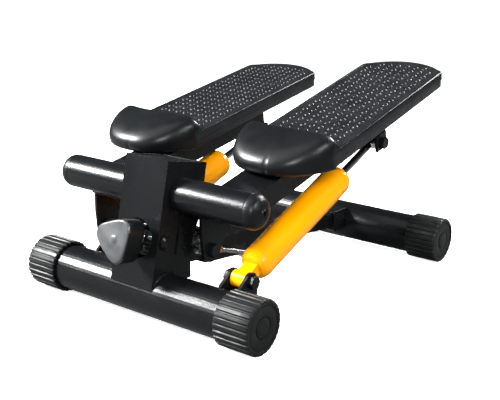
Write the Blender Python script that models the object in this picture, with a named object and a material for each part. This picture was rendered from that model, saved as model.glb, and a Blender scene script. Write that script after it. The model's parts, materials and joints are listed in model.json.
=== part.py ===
"""Hydraulic mini stepper: two coupled pedals on a front post, a damper under each, a balance cable.

Frame: metres, +Z up, +Y from the front (knob side) to the heel end, +X to the user's right.
Layout sizes below are in millimetres from the front stabiliser's axis and the floor; the root empty
scales nothing, it only moves the finished model so that its base is centred on the origin.
"""
import math

import bmesh
import bpy
from mathutils import Matrix, Vector

MM = 0.001
GAP = 0.3                      # air between two touching pieces

# Base
TUBE_R, TUBE_WALL = 25.65, 2.2
CAP_R, CAP_LENGTH, CAP_WALL = 30.0, 43.0, 5.0
CAP_RIBS = 28
HALF_WIDTH = 160.3             # centre to the outer face of an end cap
AXIS_Z = CAP_R                 # stabiliser axis above the floor
REAR_Y = 413.4                 # distance between the stabiliser axes
BEAM_WIDTH, BEAM_HEIGHT, BEAM_WALL = 30.0, 20.0, 2.0
BEAM_BOTTOM_Z, BEAM_SLOPE = 56.4, -0.076
BEAM_FRONT_Y, BEAM_REAR_Y = -12.0, 402.0

# Post: a channel that leans back, open at its rear
POST_TOP = (0.0, -0.3, 179.0)  # top edge of the front plate
POST_LEAN = math.radians(9.5)
POST_WIDTH, POST_DEPTH, POST_WAIST, POST_WALL = 60.0, 64.0, 57.0, 2.5
POST_FRONT_DROP, POST_REAR_DROP = 145.0, 127.5
DOUBLER_HALF_X = 31.7

# Pedal pivot
PIVOT_Y, PIVOT_Z = 19.5, 139.9
AXLE_R, AXLE_HALF = 10.0, 128.0
SLEEVE_R, SLEEVE_BORE = 18.9, 16.4
SLEEVE_IN, SLEEVE_OUT = 32.5, 126.0
DOME_LENGTH = 15.0
SCREW_R, SCREW_HEAD_R = 3.0, 5.2

# Pedals, in the pedal's own plane: s rearwards from the pivot, n above it
PITCH_RIGHT, PITCH_LEFT = math.radians(15.4), math.radians(12.2)
TREAD_CENTRE, TREAD_WIDTH = 96.5, 115.0
TREAD_TOP, TREAD_BOTTOM, TREAD_SKIN, TREAD_POCKET = 20.8, 1.4, 3.0, 6.0
TREAD_FRONT, TREAD_CORNER, TREAD_TIP = 112.0, 372.0, 398.0
ARM_IN, ARM_OUT = 59.0, 109.0
ARM_TOP, ARM_BOTTOM, ARM_END, ARM_WALL = 0.5, -24.5, 275.0, 2.0
TOE_HALF = 58.3
LUG_BOLT_S, LUG_BOLT_N, LUG_THICK = 18.4, -74.4, 4.0
LUG_X = {"right": 44.0, "left": -115.0}
UPPER_S, UPPER_N, BRACKET_WEB = 268.0, -37.0, 2.2

# Dampers
LOWER_Y, LOWER_Z = 27.0, 62.5
DAMPER_X = {"right": 110.0, "left": -70.0}
DAMPER_R, DAMPER_WALL = 18.0, 2.5
DAMPER_START, DAMPER_END = 19.0, 203.0
ROD_R, EYE_R, EYE_HALF = 4.5, 9.0, 8.3
PIN_R = 4.0

# Height adjuster
KNOB_DROP, KNOB_FACE, KNOB_BACK = 87.0, 36.0, 11.0
KNOB_MEAN_R, KNOB_LOBE, KNOB_TURN = 22.9, 3.4, math.radians(50.0)
KNOB_HOLE_R, TRUNNION_R, TRUNNION_HALF, TRUNNION_DEPTH = 21.5, 8.0, 34.0, 11.5
KNOB_LOW_LOBE = 24.06         # knob axis to the bottom of its lowest lobe
THREAD_R, NUT_ROOM, SCREW_END_Y = 4.0, 0.9, 95.0
CARRIAGE_FRONT_Y, CARRIAGE_TOP_Y, CARRIAGE_SIDE_Y, CARRIAGE_REAR_Y = 80.0, 97.0, 186.0, 222.0
PULLEY_Y, PULLEY_Z, PULLEY_R = 200.0, 29.5, 28.0
CABLE_R, CABLE_SLACK = 2.5, 9.6

SIDES = {"right": 1.0, "left": -1.0}
PITCH = {"right": PITCH_RIGHT, "left": PITCH_LEFT}


# ---------------------------------------------------------------- helpers
def clear_scene():
    for obj in list(bpy.data.objects):
        bpy.data.objects.remove(obj, do_unlink=True)


def material(name, colour, roughness, metallic=0.0):
    mat = bpy.data.materials.new(name)
    mat.use_nodes = True
    shader = mat.node_tree.nodes["Principled BSDF"]
    shader.inputs["Base Color"].default_value = (*colour, 1.0)
    shader.inputs["Roughness"].default_value = roughness
    shader.inputs["Metallic"].default_value = metallic
    return mat


def make_object(name, bm, mat, parent, sharp=35.0):
    """Turn a bmesh built in millimetres into a named object under its parent empty."""
    bmesh.ops.scale(bm, vec=(MM, MM, MM), verts=bm.verts)
    bmesh.ops.recalc_face_normals(bm, faces=bm.faces)
    mesh = bpy.data.meshes.new(name)
    bm.to_mesh(mesh)
    bm.free()
    mesh.shade_smooth()
    mesh.set_sharp_from_angle(angle=math.radians(sharp))
    obj = bpy.data.objects.new(name, mesh)
    bpy.context.scene.collection.objects.link(obj)
    obj.parent = parent
    if mat is not None:
        mesh.materials.append(mat)
    return obj


def empty(name, parent=None, location=(0.0, 0.0, 0.0), rotation_x=0.0, rotation_z=0.0):
    obj = bpy.data.objects.new(name, None)
    bpy.context.scene.collection.objects.link(obj)
    obj.parent = parent
    obj.location = Vector(location) * MM
    obj.rotation_euler = (rotation_x, 0.0, rotation_z)
    return obj


def prism(outline, low, high, axis="X"):
    """Closed solid: an outline in the plane across the axis, run from low to high along it."""
    def point(a, b, along):
        return {"X": (along, a, b), "Y": (a, along, b), "Z": (a, b, along)}[axis]

    bm = bmesh.new()
    first = [bm.verts.new(point(a, b, low)) for a, b in outline]
    last = [bm.verts.new(point(a, b, high)) for a, b in outline]
    bm.faces.new(first)
    bm.faces.new(last)
    for i in range(len(outline)):
        j = (i + 1) % len(outline)
        bm.faces.new((first[i], first[j], last[j], last[i]))
    return bm


def block(x, y, z):
    return prism([(x[0], y[0]), (x[1], y[0]), (x[1], y[1]), (x[0], y[1])], z[0], z[1], "Z")


def turned(profile, segments=32, axis="X"):
    """Solid of revolution from (along, radius) points; a closed ring when no radius is zero."""
    bm = bmesh.new()
    rings = []
    for along, radius in profile:
        if radius == 0.0:
            rings.append([bm.verts.new((along, 0.0, 0.0))])
            continue
        turn = [2.0 * math.pi * k / segments for k in range(segments)]
        rings.append([bm.verts.new((along, radius * math.cos(t), radius * math.sin(t))) for t in turn])
    closed = all(len(ring) > 1 for ring in rings)
    pairs = list(zip(rings, rings[1:])) + ([(rings[-1], rings[0])] if closed else [])
    for low, high in pairs:
        for k in range(segments):
            m = (k + 1) % segments
            corners = [low[k % len(low)], low[m % len(low)], high[m % len(high)], high[k % len(high)]]
            corners = list(dict.fromkeys(corners))
            if len(corners) > 2:
                bm.faces.new(corners)
    if axis == "Y":
        bmesh.ops.rotate(bm, verts=bm.verts, matrix=Matrix.Rotation(math.pi / 2.0, 3, "Z"))
    if axis == "Z":
        bmesh.ops.rotate(bm, verts=bm.verts, matrix=Matrix.Rotation(-math.pi / 2.0, 3, "Y"))
    return bm


def pipe_profile(low, high, outer, inner):
    return [(low, outer), (high, outer), (high, inner), (low, inner)]


def rod_profile(low, high, radius):
    return [(low, 0.0), (low, radius), (high, radius), (high, 0.0)]


def move(bm, x=0.0, y=0.0, z=0.0):
    bmesh.ops.translate(bm, verts=bm.verts, vec=(x, y, z))
    return bm


def turn_x(bm, angle):
    bmesh.ops.rotate(bm, verts=bm.verts, matrix=Matrix.Rotation(angle, 3, "X"))
    return bm


def merged(*parts):
    """Several closed shells in one bmesh, for use as one cutter."""
    whole = bmesh.new()
    for part in parts:
        mesh = bpy.data.meshes.new("shell")
        part.to_mesh(mesh)
        part.free()
        whole.from_mesh(mesh)
        bpy.data.meshes.remove(mesh)
    return whole


def boolean(obj, name, bm, operation="DIFFERENCE"):
    tool = make_object(name, bm, None, obj.parent)
    tool.hide_render = True
    tool.display_type = "WIRE"
    modifier = obj.modifiers.new(name, "BOOLEAN")
    modifier.operation = operation
    modifier.solver = "EXACT"
    modifier.object = tool


def cut(obj, name, bm):
    boolean(obj, name, bm, "DIFFERENCE")


def join(obj, name, bm):
    boolean(obj, name, bm, "UNION")


def arc(centre_a, centre_b, radius, start, end, steps):
    """Points on a circle in a plane, angles in degrees, both ends included."""
    turn = [math.radians(start + (end - start) * k / steps) for k in range(steps + 1)]
    return [(centre_a + radius * math.cos(t), centre_b + radius * math.sin(t)) for t in turn]


def hexagon(centre_a, centre_b, across):
    corner = across / math.sqrt(3.0)
    return [(centre_a + corner * math.cos(math.radians(60 * k)),
             centre_b + corner * math.sin(math.radians(60 * k))) for k in range(6)]


def beam_bottom(y):
    return BEAM_BOTTOM_Z + BEAM_SLOPE * y


# ---------------------------------------------------------------- materials
clear_scene()
PAINT = material("black_powder_coat", (0.012, 0.013, 0.014), 0.32)
PLASTIC = material("black_plastic", (0.020, 0.021, 0.022), 0.42)
RUBBER = material("black_rubber", (0.016, 0.016, 0.016), 0.6)
TREAD = material("tread_plastic", (0.018, 0.019, 0.020), 0.5)
AMBER = material("amber_paint", (0.90, 0.50, 0.012), 0.22)
CHROME = material("chrome", (0.75, 0.76, 0.78), 0.12, 1.0)
ZINC = material("zinc", (0.70, 0.71, 0.72), 0.3, 1.0)
BRASS = material("brass", (0.72, 0.45, 0.16), 0.3, 1.0)
NYLON = material("nylon_bush", (0.65, 0.63, 0.58), 0.5)
KNOB_GREY = material("knob_grey", (0.20, 0.21, 0.21), 0.38)

ROOT = empty("stepper_base")
POST = empty("post_plane", ROOT, POST_TOP, -POST_LEAN)
PEDAL = {side: empty("pedal_%s_pivot" % side, ROOT, (0.0, PIVOT_Y, PIVOT_Z), PITCH[side]) for side in SIDES}


# ---------------------------------------------------------------- base
def stabiliser(name, y):
    half = HALF_WIDTH - CAP_WALL - GAP
    bm = turned(pipe_profile(-half, half, TUBE_R, TUBE_R - TUBE_WALL), 48)
    return make_object(name, move(bm, 0.0, y, AXIS_Z), PAINT, ROOT)


def ribbed_outline():
    """Cap section: flat lands between shallow grooves, one land flat on the floor."""
    step = 2.0 * math.pi / CAP_RIBS
    land = 0.30 * step
    groove_r = CAP_R - 1.3
    points = []
    for k in range(CAP_RIBS):
        middle = -math.pi / 2.0 + k * step
        crest_r = CAP_R / math.cos(land)
        for angle, radius in ((middle - land, crest_r), (middle + land, crest_r),
                              (middle + 0.40 * step, groove_r), (middle + 0.60 * step, groove_r)):
            points.append((radius * math.cos(angle), radius * math.sin(angle)))
    return points


def end_cap(name, side, y):
    outer = HALF_WIDTH * side
    inner = (HALF_WIDTH - CAP_LENGTH) * side
    obj = make_object(name, move(prism(ribbed_outline(), inner, outer), 0.0, y, AXIS_Z), RUBBER, ROOT)
    socket = rod_profile(inner - side, outer - CAP_WALL * side, TUBE_R + GAP)
    cut(obj, name + "_socket", move(turned(socket, 48), 0.0, y, AXIS_Z))


def main_beam():
    top_a, top_b = beam_bottom(BEAM_FRONT_Y) + BEAM_HEIGHT, beam_bottom(BEAM_REAR_Y) + BEAM_HEIGHT
    half = BEAM_WIDTH / 2.0
    outline = [(BEAM_FRONT_Y, beam_bottom(BEAM_FRONT_Y)), (BEAM_REAR_Y, beam_bottom(BEAM_REAR_Y)),
               (BEAM_REAR_Y, top_b), (BEAM_FRONT_Y, top_a)]
    obj = make_object("main_beam", prism(outline, -half, half), PAINT, ROOT)
    wall = BEAM_WALL
    hollow = [(BEAM_FRONT_Y - 2.0, outline[0][1] + wall), (BEAM_REAR_Y + 2.0, outline[1][1] + wall),
              (BEAM_REAR_Y + 2.0, top_b - wall), (BEAM_FRONT_Y - 2.0, top_a - wall)]
    cut(obj, "main_beam_hollow", prism(hollow, wall - half, half - wall))
    cut(obj, "main_beam_end", move(turned(rod_profile(-40.0, 40.0, TUBE_R + GAP), 64), 0.0, REAR_Y, AXIS_Z))


def saddle_bracket():
    """Shoe that holds the beam's end against the rear stabiliser."""
    side = BEAM_WIDTH / 2.0 + GAP
    low, high = beam_bottom(REAR_Y) - 1.5, beam_bottom(362.0) + BEAM_HEIGHT + 3.5
    outline = [(362.0, low + 2.0), (366.0, low), (400.0, low), (400.0, high - 3.0), (396.0, high), (362.0, high)]
    obj = make_object("saddle_bracket", prism(outline, -side - 3.2, side + 3.2), PAINT, ROOT)
    room = [(350.0, beam_bottom(350.0) - GAP), (420.0, beam_bottom(420.0) - GAP),
            (420.0, beam_bottom(420.0) + BEAM_HEIGHT + GAP), (350.0, beam_bottom(350.0) + BEAM_HEIGHT + GAP)]
    cut(obj, "saddle_beam_room", prism(room, -side, side))
    cut(obj, "saddle_tube_room", move(turned(rod_profile(-40.0, 40.0, TUBE_R + GAP), 64), 0.0, REAR_Y, AXIS_Z))


def post():
    half = POST_WIDTH / 2.0
    outline = [(0.0, 0.0), (POST_DEPTH, 0.0), (POST_DEPTH, -62.0), (POST_WAIST, -84.0), (POST_WAIST, -103.0),
               (POST_DEPTH - 1.0, -POST_REAR_DROP), (0.0, -POST_FRONT_DROP)]
    obj = make_object("post", prism(outline, -half, half), PAINT, POST)
    join(obj, "post_doubler", block((-DOUBLER_HALF_X, DOUBLER_HALF_X), (31.0, 53.0), (-101.0, -71.0)))
    inside = [(POST_WALL, -4.0), (POST_DEPTH + 4.0, -4.0), (POST_DEPTH + 4.0, -160.0), (POST_WALL, -160.0)]
    cut(obj, "post_channel", prism(inside, POST_WALL - half, half - POST_WALL))
    rim = POST_WALL + 1.5
    cut(obj, "post_mouth", block((rim - half, half - rim), (rim, POST_DEPTH - 4.0), (-10.0, 5.0)))
    cut(obj, "post_axle_bore", move(turned(rod_profile(-40.0, 40.0, AXLE_R + GAP), 32), 0.0, *PIVOT_IN_POST))
    hole = turned(rod_profile(-5.0, 8.0, KNOB_HOLE_R), 40, "Y")
    cut(obj, "post_knob_hole", move(hole, 0.0, 0.0, -KNOB_DROP))
    bore = turned(rod_profile(-40.0, 40.0, TRUNNION_R + GAP), 32)
    cut(obj, "post_trunnion_bore", move(bore, 0.0, TRUNNION_DEPTH, -KNOB_DROP))
    tube = turn_x(turned(rod_profile(-60.0, 60.0, TUBE_R + GAP), 64), POST_LEAN)
    cut(obj, "post_tube_saddle", move(tube, 0.0, *TUBE_IN_POST))
    for v in (-78.5, -93.5):
        hole = turned(rod_profile(-40.0, 40.0, 2.6), 16)
        cut(obj, "post_doubler_hole_%d" % -v, move(hole, 0.0, 42.0, v))


def in_post_plane(y, z):
    """Depth behind the front plate and height along the post of a point at y, z."""
    dy, dz = y - POST_TOP[1], z - POST_TOP[2]
    return (dy * math.cos(POST_LEAN) - dz * math.sin(POST_LEAN),
            dy * math.sin(POST_LEAN) + dz * math.cos(POST_LEAN))


PIVOT_IN_POST = in_post_plane(PIVOT_Y, PIVOT_Z)
TUBE_IN_POST = in_post_plane(0.0, AXIS_Z)


def post_cap():
    half = POST_WIDTH / 2.0 - POST_WALL - 1.5 - GAP
    front, rear = POST_WALL + 1.5 + GAP, POST_DEPTH - 4.0 - GAP
    make_object("post_cap", block((-half, half), (front, rear), (-3.5, -0.8)), PLASTIC, POST)


def screw_trunnion():
    """Cross dowel in the post that the height screw turns in."""
    crown = TRUNNION_HALF - 2.0
    profile = [(-TRUNNION_HALF, 0.0), (-TRUNNION_HALF, 5.4), (-crown, TRUNNION_R), (crown, TRUNNION_R),
               (TRUNNION_HALF, 5.4), (TRUNNION_HALF, 0.0)]
    bm = move(turned(profile, 32), 0.0, TRUNNION_DEPTH, -KNOB_DROP)
    obj = make_object("screw_trunnion", bm, ZINC, POST)
    bore = turned(rod_profile(-20.0, 20.0, THREAD_R + GAP), 24, "Y")
    cut(obj, "screw_trunnion_bore", move(bore, 0.0, TRUNNION_DEPTH, -KNOB_DROP))


# ---------------------------------------------------------------- pivot
def pivot_axle():
    depth = 12.0
    profile = [(-AXLE_HALF + depth, 0.0), (-AXLE_HALF + depth, SCREW_R + GAP), (-AXLE_HALF, SCREW_R + GAP),
               (-AXLE_HALF, AXLE_R), (AXLE_HALF, AXLE_R), (AXLE_HALF, SCREW_R + GAP),
               (AXLE_HALF - depth, SCREW_R + GAP), (AXLE_HALF - depth, 0.0)]
    make_object("pivot_axle", move(turned(profile, 32), 0.0, PIVOT_Y, PIVOT_Z), ZINC, ROOT)


def sleeve_cap(name, side):
    """Domed cap that closes the sleeve and is screwed to the axle's end."""
    base = SLEEVE_OUT + GAP
    tip = base + DOME_LENGTH
    dome = []
    for k in range(7):
        t = math.radians(12.0 * k)
        dome.append((base + 2.5 + (DOME_LENGTH - 2.5) * math.sin(t), SLEEVE_R * math.cos(t) ** 0.8))
    recess = tip - 3.4
    profile = [(base, AXLE_R + GAP), (base, SLEEVE_R)] + dome
    profile += [(tip - 0.6, SCREW_HEAD_R + GAP), (recess, SCREW_HEAD_R + GAP), (recess, SCREW_R + GAP),
                (AXLE_HALF + GAP, SCREW_R + GAP), (AXLE_HALF + GAP, AXLE_R + GAP)]
    profile = [(side * along, radius) for along, radius in profile]
    make_object(name, move(turned(profile, 40), 0.0, PIVOT_Y, PIVOT_Z), PLASTIC, ROOT)


def cap_screw(name, side):
    tip = SLEEVE_OUT + GAP + DOME_LENGTH
    low = tip - 3.4 + GAP
    profile = [(AXLE_HALF - 10.0, 0.0), (AXLE_HALF - 10.0, SCREW_R), (low, SCREW_R), (low, SCREW_HEAD_R),
               (tip - 1.0, SCREW_HEAD_R), (tip - 0.2, SCREW_HEAD_R - 1.0), (tip - 0.2, 2.6),
               (tip - 2.2, 2.6), (tip - 2.2, 0.0)]
    profile = [(side * along, radius) for along, radius in profile]
    make_object(name, move(turned(profile, 24), 0.0, PIVOT_Y, PIVOT_Z), ZINC, ROOT)


# ---------------------------------------------------------------- pedals
def pivot_sleeve(name, side, parent):
    low, high = sorted((side * SLEEVE_IN, side * SLEEVE_OUT))
    make_object(name, turned(pipe_profile(low, high, SLEEVE_R, SLEEVE_BORE), 40), PAINT, parent)


def pivot_bush(name, side, parent):
    low, high = sorted((side * (SLEEVE_IN + 0.5), side * (SLEEVE_OUT - 0.5)))
    profile = pipe_profile(low, high, SLEEVE_BORE - GAP, AXLE_R + GAP)
    make_object(name, turned(profile, 32), NYLON, parent)


def pedal_arm(name, side, parent):
    low, high = sorted((side * ARM_IN, side * ARM_OUT))
    outline = [(0.0, ARM_BOTTOM), (ARM_END, ARM_BOTTOM), (ARM_END, ARM_TOP), (0.0, ARM_TOP)]
    obj = make_object(name, prism(outline, low, high), PAINT, parent)
    wall = ARM_WALL
    hollow = [(-5.0, ARM_BOTTOM + wall), (ARM_END - wall, ARM_BOTTOM + wall),
              (ARM_END - wall, ARM_TOP - wall), (-5.0, ARM_TOP - wall)]
    cut(obj, name + "_hollow", prism(hollow, low + wall, high - wall))
    cut(obj, name + "_sleeve_room", turned(rod_profile(low - 2.0, high + 2.0, SLEEVE_R + GAP), 48))


def lug_outline():
    points = [(13.0, -13.0), (6.0, -52.0)]
    points += arc(LUG_BOLT_S, LUG_BOLT_N, 14.0, 176.0, 318.0, 10)
    points += [(54.0, -64.0), (56.0, -44.0), (34.0, -15.0), (22.0, -9.0)]
    return points


def cable_lug(name, side, parent):
    x = LUG_X[side]
    half = LUG_THICK / 2.0
    obj = make_object(name, prism(lug_outline(), x - half, x + half), PAINT, parent)
    cut(obj, name + "_sleeve_room", turned(rod_profile(x - 6.0, x + 6.0, SLEEVE_R + GAP), 48))
    bore = turned(rod_profile(x - 6.0, x + 6.0, PIN_R + GAP), 24)
    cut(obj, name + "_bore", move(bore, 0.0, LUG_BOLT_S, LUG_BOLT_N))


def inboard(side):
    """Direction along X from a lug towards the middle of the machine."""
    return -1.0 if side == "right" else 1.0


def lug_bolt(name, side, parent):
    x, way = LUG_X[side], inboard(side)
    face = x - way * (LUG_THICK / 2.0 + GAP)
    head = sorted((face, face - way * 5.5))
    obj = make_object(name, prism(hexagon(LUG_BOLT_S, LUG_BOLT_N, 14.0), *head), PAINT, parent)
    shank = turned(rod_profile(*sorted((face - way, x + way * 25.0)), PIN_R), 24)
    join(obj, name + "_shank", move(shank, 0.0, LUG_BOLT_S, LUG_BOLT_N))


def lug_nut(name, side, parent):
    x, way = LUG_X[side], inboard(side)
    ends = sorted((x + way * 18.0, x + way * 23.5))
    obj = make_object(name, prism(hexagon(LUG_BOLT_S, LUG_BOLT_N, 15.0), *ends), ZINC, parent)
    flange = turned(rod_profile(*sorted((x + way * 16.9, x + way * 18.6)), 8.6), 28)
    join(obj, name + "_flange", move(flange, 0.0, LUG_BOLT_S, LUG_BOLT_N))
    bore = turned(rod_profile(x - 40.0, x + 40.0, PIN_R + GAP), 24)
    cut(obj, name + "_bore", move(bore, 0.0, LUG_BOLT_S, LUG_BOLT_N))


def tread_outline(inset=0.0):
    """Plan of the tread about its middle line: straight sides and a bowed heel edge."""
    half = TREAD_WIDTH / 2.0 - inset
    bow = TREAD_TIP - TREAD_CORNER
    radius = ((TREAD_WIDTH / 2.0) ** 2 + bow ** 2) / (2.0 * bow)
    centre = TREAD_TIP - radius
    reach = radius - inset
    limit = math.degrees(math.acos((half - 8.0) / reach))
    points = [(-half, TREAD_FRONT + inset), (half, TREAD_FRONT + inset)]
    corner_s = centre + reach * math.sin(math.radians(limit))
    points += [(half, corner_s - 11.0), (half - 0.8, corner_s - 5.5), (half - 3.2, corner_s - 2.2)]
    points += arc(0.0, centre, reach, limit, 180.0 - limit, 16)
    points += [(3.2 - half, corner_s - 2.2), (0.8 - half, corner_s - 5.5), (-half, corner_s - 11.0)]
    return points


def pedal_tread(name, side, parent):
    centre = side * TREAD_CENTRE
    outline = [(x + centre, s) for x, s in tread_outline()]
    obj = make_object(name, prism(outline, TREAD_BOTTOM, TREAD_TOP, "Z"), TREAD, parent)
    rows = [(TREAD_FRONT + TREAD_SKIN, 178.0), (181.0, 244.0), (247.0, 310.0), (313.0, TREAD_CORNER - 9.0)]
    lanes = [(-54.5, -21.5), (-18.5, 18.5), (21.5, 54.5)]
    pockets = [block((centre + a, centre + b), row, (TREAD_BOTTOM - 2.0, TREAD_BOTTOM + TREAD_POCKET))
               for row in rows for a, b in lanes]
    cut(obj, name + "_pockets", merged(*pockets))


def toe_section(a):
    """Outline of the toe cap across its width at a, from -1 (towards -X) to 1, as (s, n) points."""
    spread = (1.0 - a ** 2.2) ** 0.66 if a > 0.0 else (1.0 - abs(a) ** 2.8) ** (1.0 / 2.8)
    reach = 3.0 + 55.0 * spread
    edge = math.sqrt(1.0 - a ** 8) if a > 0.0 else math.sqrt(1.0 - abs(a) ** 20)
    ear = 1.8 * math.exp(-((a + 0.84) / 0.22) ** 2)
    height = 1.4 + (16.9 + ear) * edge
    top, low = TREAD_TOP + GAP + height, 0.8
    middle = low + 0.46 * (top - low)
    points = []
    for k in range(7):
        t = math.radians(90.0 * k / 6.0)
        points.append((116.0 - reach * math.sin(t) ** 0.58, middle - (middle - low) * math.cos(t) ** 0.72))
    for k in range(1, 10):
        t = math.radians(90.0 * k / 9.0)
        points.append((116.0 - reach * math.cos(t) ** 0.85, middle + (top - middle) * math.sin(t) ** 0.85))
    points += [(120.0, TREAD_TOP + GAP + 0.80 * height), (123.0, TREAD_TOP + GAP + 0.4 * height),
               (124.5, TREAD_TOP + GAP), (TREAD_FRONT - GAP, TREAD_TOP + GAP), (TREAD_FRONT - GAP, low)]
    return points


def toe_cap(name, side, parent):
    bm = bmesh.new()
    steps = 26
    sections = []
    for k in range(steps + 1):
        a = 0.985 * math.sin(math.pi * (k / steps - 0.5))
        x = side * TREAD_CENTRE + TOE_HALF * a
        sections.append([bm.verts.new((x, s, n)) for s, n in toe_section(a)])
    for low, high in zip(sections, sections[1:]):
        for i in range(len(low)):
            j = (i + 1) % len(low)
            bm.faces.new((low[i], low[j], high[j], high[i]))
    bm.faces.new(sections[0])
    bm.faces.new(sections[-1])
    make_object(name, bm, PLASTIC, parent)


def upper_bracket(name, side, parent):
    x, half, wall = DAMPER_X[side], EYE_HALF + 1.2, 3.5
    top, low = ARM_BOTTOM - GAP, UPPER_N - 8.5
    outline = [(-half - wall, top), (half + wall, top), (half + wall, low), (half, low), (half, top - BRACKET_WEB),
               (-half, top - BRACKET_WEB), (-half, low), (-half - wall, low)]
    outline = [(x + a, n) for a, n in outline]
    obj = make_object(name, prism(outline, UPPER_S - 12.0, UPPER_S + 12.0, "Y"), PAINT, parent)
    bore = turned(rod_profile(x - 20.0, x + 20.0, PIN_R + GAP), 24)
    cut(obj, name + "_bore", move(bore, 0.0, UPPER_S, UPPER_N))


def hinge_pin(name, x, y, z, mat, parent):
    """Bolt through a damper eye: hex head outboard, lock nut inboard."""
    reach = EYE_HALF + 1.2 + 3.5 + GAP
    obj = make_object(name, move(turned(rod_profile(-reach - 6.5, reach + 0.5, PIN_R), 24), x, y, z), mat, parent)
    for tag, low, high in (("head", reach, reach + 5.5), ("nut", -reach - 5.5, -reach)):
        join(obj, "%s_%s" % (name, tag), prism(hexagon(y, z, 13.0), x + low, x + high))


# ---------------------------------------------------------------- dampers
def damper_frame(side):
    """Empty on the lower eye's axis whose +Y runs up the damper."""
    pitch = PITCH[side]
    upper_y = PIVOT_Y + UPPER_S * math.cos(pitch) - UPPER_N * math.sin(pitch)
    upper_z = PIVOT_Z + UPPER_S * math.sin(pitch) + UPPER_N * math.cos(pitch)
    tilt = math.atan2(upper_z - LOWER_Z, upper_y - LOWER_Y)
    length = math.hypot(upper_z - LOWER_Z, upper_y - LOWER_Y)
    return empty("damper_%s_pivot" % side, ROOT, (DAMPER_X[side], LOWER_Y, LOWER_Z), tilt), length


def damper_body(name, parent):
    bore = DAMPER_R - DAMPER_WALL
    shoulder = [(0.0, 7.5), (1.2, 12.5), (4.5, 16.2), (10.0, 18.0)]
    profile = [(DAMPER_START + a, r) for a, r in shoulder]
    profile += [(DAMPER_END - a, r) for a, r in reversed(shoulder)]
    mouth = DAMPER_END - 8.0
    profile += [(mouth, 7.5), (mouth - 1.0, bore), (DAMPER_START + 14.0, bore), (DAMPER_START + 11.0, 0.0)]
    profile = [(DAMPER_START, 0.0)] + profile
    obj = make_object(name, turned(profile, 40, "Y"), AMBER, parent)
    eye = prism(arc(0.0, 0.0, EYE_R, 35.0, 325.0, 16) + [(DAMPER_START + 3.0, -7.4), (DAMPER_START + 3.0, 7.4)],
                -EYE_HALF, EYE_HALF)
    join(obj, name + "_eye", eye)
    cut(obj, name + "_eye_bore", turned(rod_profile(-12.0, 12.0, PIN_R + GAP), 24))


def piston_rod(name, length, parent):
    head = DAMPER_END - 60.0
    profile = [(head, 0.0), (head, 15.0), (head + 8.0, 15.0), (head + 8.0, ROD_R), (length - 6.0, ROD_R),
               (length - 6.0, 0.0)]
    obj = make_object(name, turned(profile, 28, "Y"), CHROME, parent)
    join(obj, name + "_eye", move(turned(rod_profile(-EYE_HALF, EYE_HALF, EYE_R), 32), 0.0, length, 0.0))
    cut(obj, name + "_eye_bore", move(turned(rod_profile(-12.0, 12.0, PIN_R + 1.2), 24), 0.0, length, 0.0))


def damper_gland(name, parent):
    profile = pipe_profile(DAMPER_END - 7.0, DAMPER_END + 2.5, 7.2, ROD_R + GAP)
    make_object(name, turned(profile, 28, "Y"), PAINT, parent)


def lower_yoke(name, side):
    """U bracket welded on the front stabiliser around the damper's lower eye."""
    x, half, wall = DAMPER_X[side], EYE_HALF + 1.2, 3.5
    outline = [(2.0, 48.0), (38.0, 38.0), (38.0, LOWER_Z - 1.0)]
    outline += arc(LOWER_Y, LOWER_Z, 10.0, 0.0, 150.0, 10) + [(6.0, 58.0)]
    obj = make_object(name, prism(outline, x - half - wall, x + half + wall), PAINT, ROOT)
    room = [(-10.0, 56.0), (18.0, LOWER_Z - 11.0), (60.0, LOWER_Z - 11.0), (60.0, 90.0), (-10.0, 90.0)]
    cut(obj, name + "_room", prism(room, x - half, x + half))
    cut(obj, name + "_tube_room", move(turned(rod_profile(x - 20.0, x + 20.0, TUBE_R + GAP), 64), 0.0, 0.0, AXIS_Z))
    cut(obj, name + "_bore", move(turned(rod_profile(x - 20.0, x + 20.0, PIN_R + GAP), 24), 0.0, LOWER_Y, LOWER_Z))
    cap = math.copysign(HALF_WIDTH - CAP_LENGTH - GAP, x)
    cap_room = turned(rod_profile(cap, 1.5 * cap, CAP_R + 2.0 * GAP), 56)
    cut(obj, name + "_cap_room", move(cap_room, 0.0, 0.0, AXIS_Z))


# ---------------------------------------------------------------- height adjuster and balance cable
def knob_outline():
    points = []
    for k in range(60):
        t = 2.0 * math.pi * k / 60
        r = KNOB_MEAN_R + KNOB_LOBE * math.cos(3.0 * (t - KNOB_TURN)) + 0.35 * math.cos(6.0 * (t - KNOB_TURN))
        points.append((r * math.cos(t), r * math.sin(t)))
    return points


def knob():
    obj = make_object("height_knob", prism(knob_outline(), -KNOB_FACE, -KNOB_BACK, "Y"), KNOB_GREY, KNOB)
    bevel = obj.modifiers.new("edge", "BEVEL")
    bevel.width = 1.6 * MM
    bevel.segments = 2
    bevel.limit_method = "ANGLE"
    cut(obj, "height_knob_bore", turned(rod_profile(-KNOB_BACK - 15.0, 0.0, THREAD_R + GAP), 24, "Y"))


def height_screw():
    end = (SCREW_END_Y - KNOB_AXIS[0]) / math.cos(POST_LEAN)
    profile = rod_profile(-KNOB_BACK - 14.0, end, THREAD_R)
    make_object("height_screw", turned(profile, 24, "Y"), ZINC, KNOB)


def knob_spring():
    profile = pipe_profile(-KNOB_BACK + GAP, TRUNNION_DEPTH - TRUNNION_R - GAP, 11.0, 8.6)
    make_object("knob_spring", turned(profile, 28, "Y"), CHROME, KNOB)


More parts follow.
